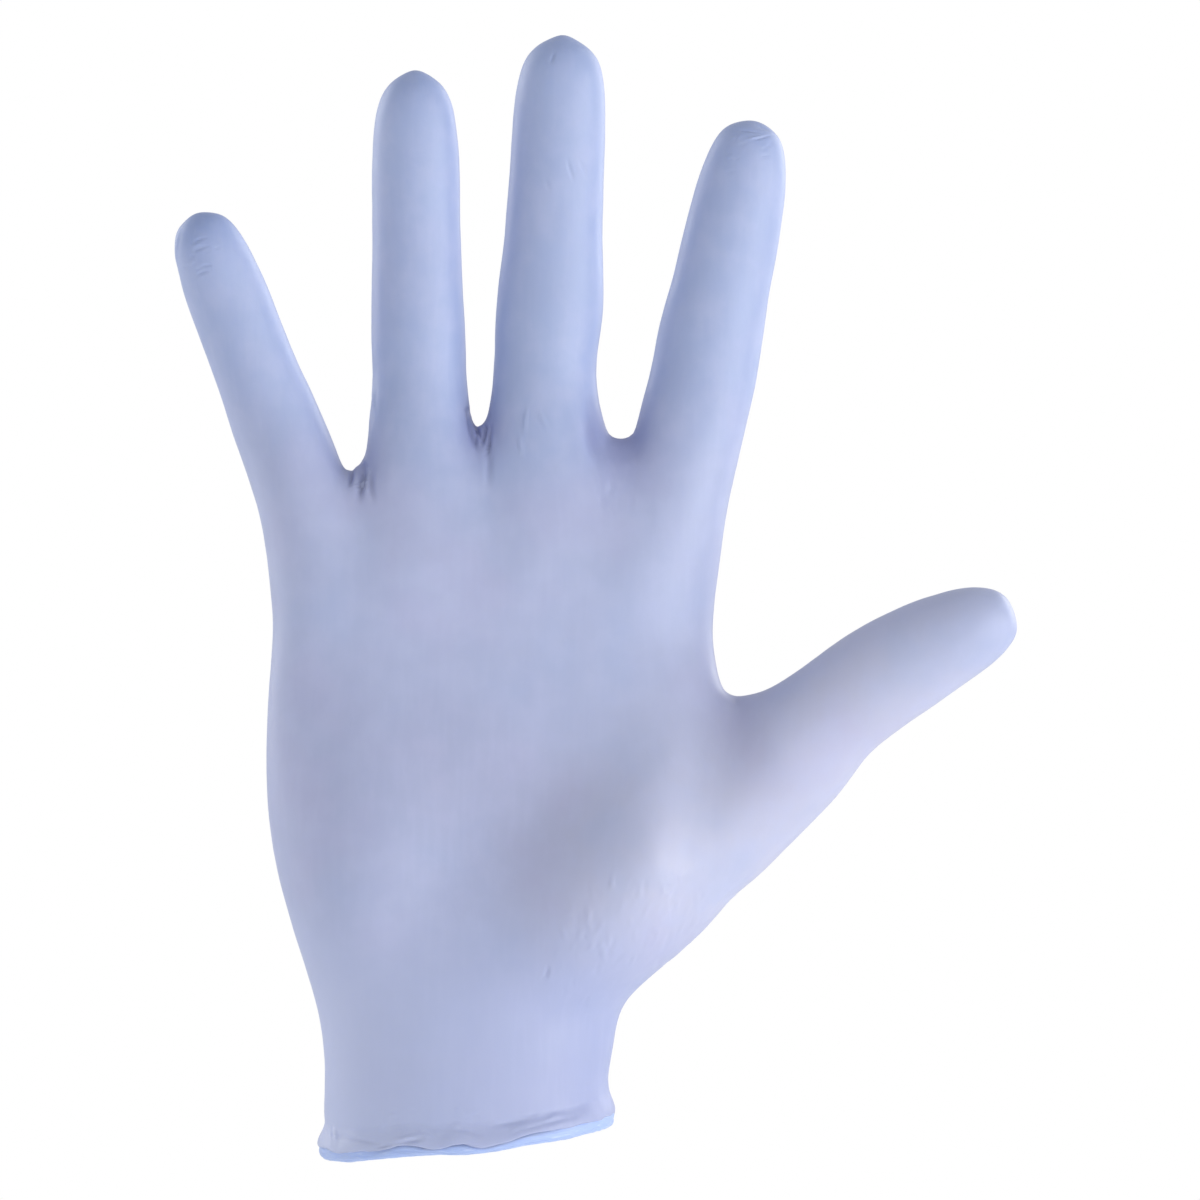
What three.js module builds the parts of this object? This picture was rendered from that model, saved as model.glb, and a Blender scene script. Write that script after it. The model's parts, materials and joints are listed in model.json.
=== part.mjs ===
// A thin nitrile examination glove in its worn form: right-handed, palm side to the front, fingers up.
// It is one dipped film that is hollow down to its fingertips, with its wrist edge rolled up into a bead.
// Millimetres. +Z runs from the wrist opening to the fingertips, -Y is the palm side, +X the thumb side.
// The origin is the centre of the wrist opening.
import * as THREE from "three";

// Driving dimensions of the film.
const wall = 1.0;
const cuffLength = 30;
const wristBreadth = 57;
const wristDepth = 40;
const palmLength = 104;
const palmBreadth = 90;
const palmDepth = 30;

// Driving dimensions of the digits. Flatness is a finger's depth over its breadth.
const fingerFlatness = 0.88;
const littleLength = 50.5;
const littleBreadth = 16.5;
const ringLength = 71.6;
const ringBreadth = 18.2;
const middleLength = 76.7;
const middleBreadth = 19.4;
const indexLength = 62;
const indexBreadth = 19.4;
const thumbLength = 53;
const thumbBreadth = 21;
const thumbDepth = 18.5;

// Driving dimensions of the rolled bead round the wrist opening.
const beadThickness = 2.2;
const beadHeight = 3.8;
const beadClearance = 0.3;
const beadSides = 10;
const openingRise = 8.6;

const filmColour = 0xabb6dc;
const beadColour = 0xaec4ee;

// The columns of points across the palm side, from the little finger's side to the thumb's, as shares
// of the half breadth: evenly round an oval at the wrist, and one column to each finger and web above.
const columns = [
  { name: "little_side", oval: -0.951, slot: -0.93 },
  { name: "little_middle", oval: -0.809, slot: -0.75 },
  { name: "little_ring_web", oval: -0.588, slot: -0.51 },
  { name: "ring_middle", oval: -0.309, slot: -0.23 },
  { name: "ring_middle_web", oval: 0, slot: 0.04 },
  { name: "middle_middle", oval: 0.309, slot: 0.3 },
  { name: "middle_index_web", oval: 0.588, slot: 0.58 },
  { name: "index_middle", oval: 0.809, slot: 0.81 },
  { name: "index_side", oval: 0.951, slot: 0.95 },
];
const lastColumn = columns.length - 1;

// Sections of the cuff and the wrist: up is a share of the cuff's length, left and right of half the
// wrist's breadth, front and back of half its depth. Follow is how far a section tilts with the opening.
const cuffSections = [
  { up: 0, left: -0.97, right: 0.965, front: 0.98, back: 0.98, follow: 1 },
  { up: 0.17, left: -1, right: 1, front: 1, back: 1, follow: 0.8 },
  { up: 0.36, left: -0.995, right: 0.985, front: 0.99, back: 0.99, follow: 0.35 },
  { up: 0.66, left: -1.005, right: 1.03, front: 0.98, back: 0.97, follow: 0 },
  { up: 0.95, left: -1.065, right: 1.112, front: 0.98, back: 0.94, follow: 0 },
];

// Sections of the palm: up is a share of the palm's length, left and right of half its breadth, front
// and back of its depth. Side is how far forward the thumb's side runs, square how squarely the palm
// turns to that side, and slots how far the columns have gone over from the wrist's spacing to the
// fingers'. The thumb springs from the rows below thumbReach, a share of the palm's length too.
const palmSections = [
  { up: 0.08, left: -0.744, right: 0.962, front: 0.63, back: 0.56, side: 0.1, square: 3, slots: 0.15 },
  { up: 0.23, left: -0.847, right: 1.067, front: 0.58, back: 0.52, side: 0.2, square: 7, slots: 0.3 },
  { up: 0.395, left: -0.894, right: 1.12, front: 0.51, back: 0.49, side: 0.2, square: 8, slots: 0.45 },
  { up: 0.578, left: -0.884, right: 1.13, front: 0.46, back: 0.47, side: 0.16, square: 6, slots: 0.6 },
  { up: 0.69, left: -0.862, right: 1.087, front: 0.45, back: 0.47, side: 0.05, square: 2.9, slots: 0.85 },
  { up: 0.82, left: -0.888, right: 1.124, front: 0.445, back: 0.48, side: 0, square: 2.9, slots: 1 },
];
const thumbReach = 0.62;
const thumbTop = palmSections.filter((row) => row.up < thumbReach).length - 1;

// The mounds and hollows of the palm side, then of the back. Across is a share of half the palm's
// breadth and up of its length, turn how far the long way leans up from level in degrees, long and
// broad how far it reaches from its middle as shares of the breadth, and rise how far it stands out,
// as a share of the palm's depth.
const palmRelief = [
  { name: "ball_of_thumb", across: 0.83, up: 0.275, turn: 44, long: 0.42, broad: 0.24, rise: 0.25 },
  { name: "heel_mound", across: -0.5, up: 0.3, turn: 80, long: 0.4, broad: 0.22, rise: 0.11 },
  { name: "hollow_of_palm", across: 0.2, up: 0.32, turn: 48, long: 0.4, broad: 0.19, rise: -0.1 },
  { name: "index_pad", across: 0.8, up: 0.8, turn: 85, long: 0.22, broad: 0.16, rise: 0.07 },
  { name: "middle_pad", across: 0.3, up: 0.84, turn: 90, long: 0.16, broad: 0.14, rise: 0.04 },
  { name: "ring_pad", across: -0.22, up: 0.81, turn: 90, long: 0.16, broad: 0.13, rise: 0.04 },
  { name: "little_pad", across: -0.7, up: 0.79, turn: 100, long: 0.18, broad: 0.12, rise: 0.05 },
  { name: "little_ring_dip", across: -0.46, up: 0.91, turn: 90, long: 0.14, broad: 0.05, rise: -0.07 },
  { name: "ring_middle_dip", across: 0.06, up: 0.96, turn: 90, long: 0.13, broad: 0.05, rise: -0.08 },
  { name: "middle_index_dip", across: 0.66, up: 0.96, turn: 80, long: 0.13, broad: 0.06, rise: -0.06 },
];
const backRelief = [
  { name: "index_knuckle", across: 0.9, up: 0.87, turn: 80, long: 0.12, broad: 0.11, rise: 0.06 },
  { name: "middle_knuckle", across: 0.32, up: 0.9, turn: 90, long: 0.12, broad: 0.11, rise: 0.06 },
  { name: "ring_knuckle", across: -0.22, up: 0.87, turn: 90, long: 0.12, broad: 0.1, rise: 0.05 },
  { name: "little_knuckle", across: -0.7, up: 0.8, turn: 100, long: 0.12, broad: 0.1, rise: 0.05 },
];

// Where the fingers spring from the palm, a row for each column: across is a share of half the palm's
// breadth, front and back are heights as shares of its length, forward and backward shares of its depth.
const fingerFeet = [
  { across: -0.9, front: 0.933, back: 0.913, forward: 0.24, backward: 0.24 },
  { across: -0.745, front: 0.942, back: 0.913, forward: 0.39, backward: 0.38 },
  { across: -0.522, front: 0.952, back: 0.894, forward: 0.3, backward: 0.34 },
  { across: -0.222, front: 0.99, back: 0.952, forward: 0.42, backward: 0.42 },
  { across: 0.051, front: 1.024, back: 0.952, forward: 0.32, backward: 0.37 },
  { across: 0.344, front: 1.014, back: 0.962, forward: 0.42, backward: 0.43 },
  { across: 0.667, front: 1.005, back: 0.938, forward: 0.32, backward: 0.35 },
  { across: 0.956, front: 0.971, back: 0.933, forward: 0.39, backward: 0.4 },
  { across: 1.124, front: 0.952, back: 0.933, forward: 0.24, backward: 0.24 },
];
const littleEdge = { across: -0.925, up: 0.933 };
const indexEdge = { across: 1.164, up: 0.952 };

// The floor of each web between two fingers, with the column that runs up to it.
const webs = [
  { column: 2, across: -0.489, up: 0.996 },
  { column: 4, across: 0.067, up: 1.081 },
  { column: 6, across: 0.689, up: 1.06 },
];

// The digits. Root is where the middle line starts, as shares of half the palm's breadth and of its
// length. Lean is the turn away from upright towards the thumb's side and curl the turn towards the
// palm side, in degrees, each from the root to the tip. In the sections along is a share of the
// length, wide of the breadth and deep of the depth, and shift moves a section sideways.
const digits = [
  {
    name: "little",
    root: { across: -0.8, up: 1.038, forward: 0 },
    length: littleLength,
    breadth: littleBreadth,
    depth: littleBreadth * fingerFlatness,
    lean: [-21.2, -20.2],
    curl: [3, 12],
    sections: [
      { along: 0.1, wide: 1.11, deep: 1.16, shift: 0 },
      { along: 0.28, wide: 1.03, deep: 1.08, shift: 0 },
      { along: 0.46, wide: 1.0, deep: 1.02, shift: 0 },
      { along: 0.64, wide: 0.99, deep: 0.97, shift: 0 },
      { along: 0.8, wide: 0.92, deep: 0.93, shift: 0 },
      { along: 0.92, wide: 0.73, deep: 0.74, shift: 0 },
      { along: 0.98, wide: 0.42, deep: 0.4, shift: 0 },
    ],
  },
  {
    name: "ring",
    root: { across: -0.204, up: 1.077, forward: 0 },
    length: ringLength,
    breadth: ringBreadth,
    depth: ringBreadth * fingerFlatness,
    lean: [-1.9, 0.6],
    curl: [2, 11],
    sections: [
      { along: 0.1, wide: 1.05, deep: 1.16, shift: 0 },
      { along: 0.26, wide: 1.055, deep: 1.1, shift: 0 },
      { along: 0.44, wide: 0.99, deep: 1.03, shift: 0 },
      { along: 0.62, wide: 0.975, deep: 0.98, shift: 0 },
      { along: 0.8, wide: 0.95, deep: 0.93, shift: 0 },
      { along: 0.92, wide: 0.77, deep: 0.76, shift: 0 },
      { along: 0.98, wide: 0.42, deep: 0.42, shift: 0 },
    ],
  },
  {
    name: "middle",
    root: { across: 0.342, up: 1.096, forward: 0 },
    length: middleLength,
    breadth: middleBreadth,
    depth: middleBreadth * fingerFlatness,
    lean: [3, 3],
    curl: [1, 10],
    sections: [
      { along: 0.1, wide: 1.05, deep: 1.12, shift: -0.02 },
      { along: 0.28, wide: 1.13, deep: 1.1, shift: 0 },
      { along: 0.46, wide: 1.03, deep: 1.03, shift: 0 },
      { along: 0.64, wide: 0.98, deep: 0.97, shift: 0 },
      { along: 0.81, wide: 0.96, deep: 0.92, shift: 0 },
      { along: 0.92, wide: 0.81, deep: 0.76, shift: 0 },
      { along: 0.98, wide: 0.44, deep: 0.42, shift: 0 },
    ],
  },
  {
    name: "index",
    root: { across: 0.996, up: 1.087, forward: 0 },
    length: indexLength,
    breadth: indexBreadth,
    depth: indexBreadth * fingerFlatness,
    lean: [12.5, 11],
    curl: [1, 10],
    sections: [
      { along: 0.1, wide: 1.1, deep: 1.14, shift: 0.02 },
      { along: 0.28, wide: 1.1, deep: 1.08, shift: 0 },
      { along: 0.46, wide: 1.02, deep: 1.01, shift: 0 },
      { along: 0.64, wide: 0.985, deep: 0.96, shift: 0 },
      { along: 0.8, wide: 0.905, deep: 0.9, shift: 0 },
      { along: 0.92, wide: 0.72, deep: 0.72, shift: 0 },
      { along: 0.98, wide: 0.42, deep: 0.4, shift: 0 },
    ],
  },
];

const thumb = {
  name: "thumb",
  root: { across: 1.44, up: 0.467, forward: 0.32 },
  length: thumbLength,
  breadth: thumbBreadth,
  depth: thumbDepth,
  lean: [44.5, 71],
  curl: [18, 14],
  sections: [
    { along: 0.0, wide: 1.24, deep: 1.2, shift: 0 },
    { along: 0.2, wide: 1.03, deep: 1.04, shift: 0 },
    { along: 0.4, wide: 1.01, deep: 1.0, shift: 0 },
    { along: 0.6, wide: 0.96, deep: 0.97, shift: 0 },
    { along: 0.78, wide: 0.84, deep: 0.88, shift: 0 },
    { along: 0.91, wide: 0.68, deep: 0.7, shift: 0 },
    { along: 0.98, wide: 0.42, deep: 0.42, shift: 0 },
  ],
};
// The ball of the thumb, one section between the palm's side and the thumb's root.
const thumbBall = { across: 1.25, up: 0.396, forward: 0.19, lean: 79, wide: 1.62, deep: 1.33 };

// The rolled bead, a row for each place round the opening, counted in turns from the little finger's
// side over the palm side: rise is a share of the opening's rise, size of the bead's own section.
const beadSections = [
  { turn: 0, rise: -0.13, size: 1.12 },
  { turn: 0.08, rise: -0.17, size: 1.12 },
  { turn: 0.16, rise: -0.02, size: 0.92 },
  { turn: 0.25, rise: 0.03, size: 0.8 },
  { turn: 0.33, rise: 0.17, size: 0.85 },
  { turn: 0.42, rise: 0.4, size: 0.9 },
  { turn: 0.5, rise: 0.64, size: 1.1 },
  { turn: 0.58, rise: 0.5, size: 0.95 },
  { turn: 0.67, rise: 0.32, size: 0.85 },
  { turn: 0.75, rise: 0.18, size: 0.95 },
  { turn: 0.84, rise: 0.04, size: 1.0 },
  { turn: 0.92, rise: -0.08, size: 0.95 },
];

const halfWrist = wristBreadth / 2;
const halfWristDepth = wristDepth / 2;
const halfPalm = palmBreadth / 2;
const fittingRounds = 12;
const curveSteps = 40;

const mix = (a, b, t) => a + (b - a) * t;
const point = (x, y, z) => new THREE.Vector3(x, y, z);
const palmHeight = (up) => cuffLength + up * palmLength;

// How far the opening's edge stands above its centre at a turn round it, through the bead's rows.
function edgeAt(turn, key) {
  const rows = beadSections;
  const place = (((turn % 1) + 1) % 1) + 1e-9;
  const after = rows.findIndex((row) => row.turn > place);
  const next = after < 0 ? rows.length : after;
  const at = (i) => rows[(i + rows.length) % rows.length][key];
  const start = rows[next - 1].turn;
  const end = next === rows.length ? 1 : rows[next].turn;
  const t = (place - start) / (end - start);
  const [a, b, c, d] = [at(next - 2), at(next - 1), at(next), at(next + 1)];
  return b + 0.5 * t * (c - a + t * (2 * a - 5 * b + 4 * c - d + t * (3 * (b - c) + d - a)));
}
const riseAt = (turn) => openingRise * edgeAt(turn, "rise");

// A mesh under construction: points, and faces as lists of point numbers.
class Cage {
  constructor() {
    this.points = [];
    this.faces = [];
  }
  add(p) {
    return this.points.push(p) - 1;
  }
  // The same cage without the points that no face uses.
  compact() {
    const used = [...new Set(this.faces.flat())].sort((a, b) => a - b);
    const number = new Map(used.map((old, i) => [old, i]));
    this.points = used.map((old) => this.points[old]);
    this.faces = this.faces.map((face) => face.map((old) => number.get(old)));
    return this;
  }
  // Four-sided faces between two loops of as many points, leaving out the sides in skip.
  join(lower, upper, skip = []) {
    const count = lower.length;
    for (let i = 0; i < count; i += 1) {
      const j = (i + 1) % count;
      if (!skip.includes(i)) this.faces.push([lower[i], lower[j], upper[j], upper[i]]);
    }
  }
}

// The loops of the palm run over the palm side to the thumb's side and back behind.
const thumbSide = columns.length;
const littleSide = 2 * columns.length + 1;
const frontOf = (column) => column;
const backOf = (column) => 2 * columns.length - column;

// One section of the cuff: an oval between its left and right edges, tilted with the opening.
function cuffLoop(cage, row) {
  const middle = (halfWrist * (row.left + row.right)) / 2;
  const half = (halfWrist * (row.right - row.left)) / 2;
  const loop = [];
  const put = (share, side) => {
    const deep = side < 0 ? row.front : row.back;
    const y = side * deep * halfWristDepth * Math.sqrt(Math.max(0, 1 - share * share));
    const angle = Math.atan2(-side * Math.sqrt(Math.max(0, 1 - share * share)), -share);
    const turn = angle / (2 * Math.PI);
    const z = row.up * cuffLength + row.follow * riseAt(turn);
    loop.push(cage.add(point(middle + half * share, y, z)));
  };
  columns.forEach((column) => put(column.oval, -1));
  put(1, 1);
  [...columns].reverse().forEach((column) => put(column.oval, 1));
  put(-1, -1);
  return loop;
}

function palmLoop(cage, row) {
  const middle = (halfPalm * (row.left + row.right)) / 2;
  const half = (halfPalm * (row.right - row.left)) / 2;
  const power = mix(2.1, 2.9, row.slots);
  const z = palmHeight(row.up);
  const loop = [];
  const put = (share, y) => loop.push(cage.add(point(middle + half * share, y * palmDepth, z)));
  const fall = (share, by) => (1 - Math.abs(share) ** by) ** (1 / by);
  const shareOf = (column) => mix(column.oval, column.slot, row.slots);
  columns.forEach((column) => {
    const share = shareOf(column);
    put(share, -row.front * fall(share, share < 0 ? power : row.square));
  });
  put(1, -row.side);
  [...columns].reverse().forEach((column) => {
    const share = shareOf(column);
    put(share, row.back * fall(share, power));
  });
  put(-1, 0);
  return loop;
}

function fingerFootLoop(cage) {
  const loop = [];
  const edge = ({ across, up }) => cage.add(point(across * halfPalm, 0, palmHeight(up)));
  const foot = (row, up, y) => loop.push(cage.add(point(row.across * halfPalm, y, palmHeight(up))));
  fingerFeet.forEach((row) => foot(row, row.front, -row.forward * palmDepth));
  loop.push(edge(indexEdge));
  [...fingerFeet].reverse().forEach((row) => foot(row, row.back, row.backward * palmDepth));
  loop.push(edge(littleEdge));
  return loop;
}

// The middle line of a digit, and its directions along, sideways and forwards at each share.
function digitFrames(digit) {
  const { root, lean, curl, length } = digit;
  const at = point(root.across * halfPalm, -root.forward * palmDepth, palmHeight(root.up));
  const frames = [];
  for (let i = 0; i <= curveSteps; i += 1) {
    const t = i / curveSteps;
    const side = THREE.MathUtils.degToRad(mix(lean[0], lean[1], t));
    const fore = THREE.MathUtils.degToRad(mix(curl[0], curl[1], t));
    const along = point(Math.sin(side) * Math.cos(fore), -Math.sin(fore), Math.cos(side) * Math.cos(fore));
    const across = point(Math.cos(side), 0, -Math.sin(side));
    const forward = new THREE.Vector3().crossVectors(across, along);
    frames.push({ at: at.clone(), along, across, forward });
    at.addScaledVector(along, length / curveSteps);
  }
  return frames;
}

// Points round a middle: front left first, then over the front to the right and behind.
function ringLoop(cage, count, centre, across, forward, halfWide, halfDeep) {
  const loop = [];
  for (let i = 0; i < count; i += 1) {
    const angle = Math.PI / 2 - ((count / 2 - 1 - i) * 2 * Math.PI) / count;
    const p = centre.clone();
    p.addScaledVector(across, halfWide * Math.sin(angle));
    p.addScaledVector(forward, halfDeep * Math.cos(angle));
    loop.push(cage.add(p));
  }
  return loop;
}

// A hollow finger stall from the loop at its foot to its closed tip.
function growDigit(cage, footLoop, digit) {
  const frames = digitFrames(digit);
  let below = footLoop;
  for (const row of digit.sections) {
    const frame = frames[Math.round(row.along * curveSteps)];
    const centre = frame.at.clone().addScaledVector(frame.across, row.shift * digit.breadth);
    const halfWide = (row.wide * digit.breadth) / 2;
    const halfDeep = (row.deep * digit.depth) / 2;
    const count = footLoop.length;
    const loop = ringLoop(cage, count, centre, frame.across, frame.forward, halfWide, halfDeep);
    cage.join(below, loop);
    below = loop;
  }
  const tip = cage.add(frames[curveSteps].at.clone());
  for (let i = 1; i < below.length; i += 2) {
    cage.faces.push([below[i], below[(i + 1) % below.length], below[(i + 2) % below.length], tip]);
  }
}

function gloveCage() {
  const cage = new Cage();
  const cuff = cuffSections.map((row) => cuffLoop(cage, row));
  const palm = palmSections.map((row) => palmLoop(cage, row));
  const feet = fingerFootLoop(cage);
  const stack = [...cuff, ...palm, feet];
  stack.slice(1).forEach((upper, i) => {
    const lower = stack[i];
    const atThumb = palm.slice(0, thumbTop).includes(lower);
    cage.join(lower, upper, atThumb ? [thumbSide - 1, thumbSide] : []);
  });

  const floors = webs.map((web) => cage.add(point(web.across * halfPalm, 0, palmHeight(web.up))));
  const sides = [feet[littleSide], ...floors, feet[thumbSide]];
  digits.forEach((digit, i) => {
    const first = 2 * i;
    const foot = [
      feet[frontOf(first)],
      feet[frontOf(first + 1)],
      feet[frontOf(first + 2)],
      sides[i + 1],
      feet[backOf(first + 2)],
      feet[backOf(first + 1)],
      feet[backOf(first)],
      sides[i],
    ];
    growDigit(cage, foot, digit);
  });

  const beside = palm.slice(0, thumbTop + 1);
  const thumbRoot = [
    ...beside.map((loop) => loop[frontOf(lastColumn)]).reverse(),
    palm[0][thumbSide],
    ...beside.map((loop) => loop[backOf(lastColumn)]),
    palm[thumbTop][thumbSide],
  ];
  const lean = THREE.MathUtils.degToRad(thumbBall.lean);
  const ball = ringLoop(
    cage,
    thumbRoot.length,
    point(thumbBall.across * halfPalm, -thumbBall.forward * palmDepth, palmHeight(thumbBall.up)),
    point(Math.cos(lean), 0, -Math.sin(lean)),
    point(0, -1, 0),
    (thumbBall.wide * thumbBreadth) / 2,
    (thumbBall.deep * thumbDepth) / 2,
  );
  cage.join(thumbRoot, ball);
  growDigit(cage, ball, thumb);
  return { cage: cage.compact(), edge: cuff[0] };
}

// The edges of a list of faces: their two points, their faces and their number.
function edgesOf(faces) {
  const edges = new Map();
  faces.forEach((face, f) => {
    face.forEach((a, i) => {
      const b = face[(i + 1) % face.length];
      const key = a < b ? `${a},${b}` : `${b},${a}`;
      if (!edges.has(key)) edges.set(key, { ends: [a, b], faces: [], number: edges.size });
      edges.get(key).faces.push(f);
    });
  });
  return edges;
}

const meanOf = (list) => {
  const sum = point(0, 0, 0);
  list.forEach((p) => sum.add(p));
  return sum.divideScalar(list.length);
};

// One round of Catmull-Clark smoothing. Old points come first in the result, then edges, then faces.
function smoothed(points, faces, edges) {
  const middles = faces.map((face) => meanOf(face.map((i) => points[i])));
  const edgePoints = [];
  const around = points.map(() => ({ edges: [], faces: [], rim: [] }));
  for (const { ends, faces: beside } of edges.values()) {
    const [a, b] = ends.map((i) => points[i]);
    const half = meanOf([a, b]);
    const rim = beside.length < 2;
    edgePoints.push(rim ? half : meanOf([a, b, middles[beside[0]], middles[beside[1]]]));
    ends.forEach((i) => {
      around[i].edges.push(half);
      if (rim) around[i].rim.push(half);
    });
  }
  faces.forEach((face, f) => face.forEach((i) => around[i].faces.push(middles[f])));
  const moved = points.map((p, i) => {
    const { edges: halves, faces: nearby, rim } = around[i];
    if (rim.length) return meanOf([p, p, ...rim]);
    const n = halves.length;
    const sum = p.clone().multiplyScalar(n - 3);
    sum.addScaledVector(meanOf(halves), 2).add(meanOf(nearby));
    return sum.divideScalar(n);
  });
  return [...moved, ...edgePoints, ...middles];
}

// Pushes the cage out until its smoothed surface passes through the points that the tables give.
function fitted(wanted, faces, edges) {
  const cage = wanted.map((p) => p.clone());
  for (let round = 0; round < fittingRounds; round += 1) {
    const now = smoothed(cage, faces, edges);
    cage.forEach((p, i) => p.add(wanted[i]).sub(now[i]));
  }
  return cage;
}

function splitFaces(faces, edges, pointCount) {
  const edgeNumber = (a, b) => pointCount + edges.get(a < b ? `${a},${b}` : `${b},${a}`).number;
  const quads = [];
  faces.forEach((face, f) => {
    const middle = pointCount + edges.size + f;
    face.forEach((a, i) => {
      const next = face[(i + 1) % face.length];
      const last = face[(i + face.length - 1) % face.length];
      quads.push([a, edgeNumber(a, next), middle, edgeNumber(last, a)]);
    });
  });
  return quads;
}

// The way in from each point through a film one unit thick, longer where the film turns sharply.
function waysIn(points, quads) {
  const corners = points.map(() => []);
  quads.forEach((quad) => {
    quad.forEach((p, i) => {
      const u = points[quad[(i + 1) % 4]].clone().sub(points[p]);
      const v = points[quad[(i + 3) % 4]].clone().sub(points[p]);
      const share = u.angleTo(v);
      corners[p].push({ share, normal: u.cross(v).normalize() });
    });
  });
  return corners.map((around) => {
    const normal = point(0, 0, 0);
    around.forEach((corner) => normal.addScaledVector(corner.normal, corner.share));
    normal.normalize();
    const total = around.reduce((sum, corner) => sum + corner.share, 0);
    const facing = around.reduce((sum, corner) => sum + corner.share * corner.normal.dot(normal), 0);
    return normal.multiplyScalar(-Math.min(1.4, total / facing));
  });
}

// Each quad is cut from its first corner to its third.
function geometryOf(points, quads) {
  const flat = points.flatMap((p) => p.toArray());
  const index = quads.flatMap(([a, b, c, d]) => [a, b, c, a, c, d]);
  const geometry = new THREE.BufferGeometry();
  geometry.setAttribute("position", new THREE.Float32BufferAttribute(flat, 3));
  geometry.setIndex(index);
  geometry.computeVertexNormals();
  return geometry;
}

// Raises the mounds and sinks the hollows of a table, on the side that faces the way given.
function raise(points, normals, table, way) {
  for (const mound of table) {
    const turn = THREE.MathUtils.degToRad(mound.turn);
    points.forEach((p, i) => {
      const x = p.x - mound.across * halfPalm;
      const z = p.z - palmHeight(mound.up);
      const long = (x * Math.cos(turn) + z * Math.sin(turn)) / (mound.long * palmBreadth);
      const broad = (z * Math.cos(turn) - x * Math.sin(turn)) / (mound.broad * palmBreadth);
      const near = Math.max(0, 1 - long * long - broad * broad);
      const facing = Math.min(1, Math.max(0, (normals[i].y * way) / 0.5));
      p.y += way * mound.rise * palmDepth * near * near * facing;
    });
  }
}

// The outer skin of the film, and the loop of its points at the wrist opening.
function outerSkin() {
  const { cage, edge } = gloveCage();
  const edges = edgesOf(cage.faces);
  const fit = fitted(cage.points, cage.faces, edges);
  const points = smoothed(fit, cage.faces, edges);
  const quads = splitFaces(cage.faces, edges, fit.length);
  const normals = waysIn(points, quads).map((way) => way.negate().normalize());
  raise(points, normals, palmRelief, -1);
  raise(points, normals, backRelief, 1);
  const rim = edge.flatMap((a, i) => {
    const b = edge[(i + 1) % edge.length];
    return [a, fit.length + edges.get(a < b ? `${a},${b}` : `${b},${a}`).number];
  });
  return { points, quads, rim };
}

// The film: its outer skin, the same skin a wall further in, and the rim that joins them.
function filmGeometry(skin) {
  const { points, quads, rim } = skin;
  const ways = waysIn(points, quads);
  const inner = points.map((p, i) => p.clone().addScaledVector(ways[i], wall));
  rim.forEach((i) => {
    inner[i].z = points[i].z;
  });
  const count = points.length;
  const inside = quads.map(([a, b, c, d]) => [a + count, d + count, c + count, b + count]);
  const lip = rim.map((a, i) => {
    const b = rim[(i + 1) % rim.length];
    return [b, a, a + count, b + count];
  });
  return geometryOf([...points, ...inner], [...quads, ...inside, ...lip]);
}

// The bead: the wrist edge rolled up on the outside of the film, thicker and thinner as it goes.
function beadGeometry(skin) {
  const { points, rim } = skin;
  const count = rim.length;
  const ring = rim.map((i) => points[i]);
  const beadPoints = [];
  ring.forEach((p, i) => {
    const ahead = ring[(i + 1) % count];
    const behind = ring[(i + count - 1) % count];
    const along = ahead.clone().sub(behind).normalize();
    const out = point(along.y, -along.x, 0).normalize();
    const turn = Math.atan2(-p.y / halfWristDepth, -p.x / halfWrist) / (2 * Math.PI);
    const size = edgeAt(turn, "size");
    const halfThick = (size * beadThickness) / 2;
    const halfHigh = (size * beadHeight) / 2;
    const centre = p.clone().addScaledVector(out, beadClearance + halfThick);
    for (let side = 0; side < beadSides; side += 1) {
      const angle = (2 * Math.PI * side) / beadSides;
      const q = centre.clone().addScaledVector(out, halfThick * Math.cos(angle));
      q.z += halfHigh * Math.sin(angle);
      beadPoints.push(q);
    }
  });
  const quads = [];
  for (let i = 0; i < count; i += 1) {
    const next = (i + 1) % count;
    for (let side = 0; side < beadSides; side += 1) {
      const up = (side + 1) % beadSides;
      quads.push([
        i * beadSides + side,
        next * beadSides + side,
        next * beadSides + up,
        i * beadSides + up,
      ]);
    }
  }
  return geometryOf(beadPoints, quads);
}

function namedMesh(name, geometry, colour, roughness) {
  const material = new THREE.MeshStandardMaterial({ color: colour, roughness, metalness: 0 });
  const mesh = new THREE.Mesh(geometry, material);
  mesh.name = name;
  return mesh;
}

const skin = outerSkin();
const glove = new THREE.Group();
glove.name = "exam_glove";
glove.add(namedMesh("glove_film", filmGeometry(skin), filmColour, 0.5));
glove.add(namedMesh("cuff_bead", beadGeometry(skin), beadColour, 0.45));

export default glove;
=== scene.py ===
"""Nitrile examination glove: the dipped film with its folds, the rolled bead and a plain studio."""

import json
import math
from collections import namedtuple

import bmesh
import bpy
import numpy as np
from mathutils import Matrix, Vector, noise

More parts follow.
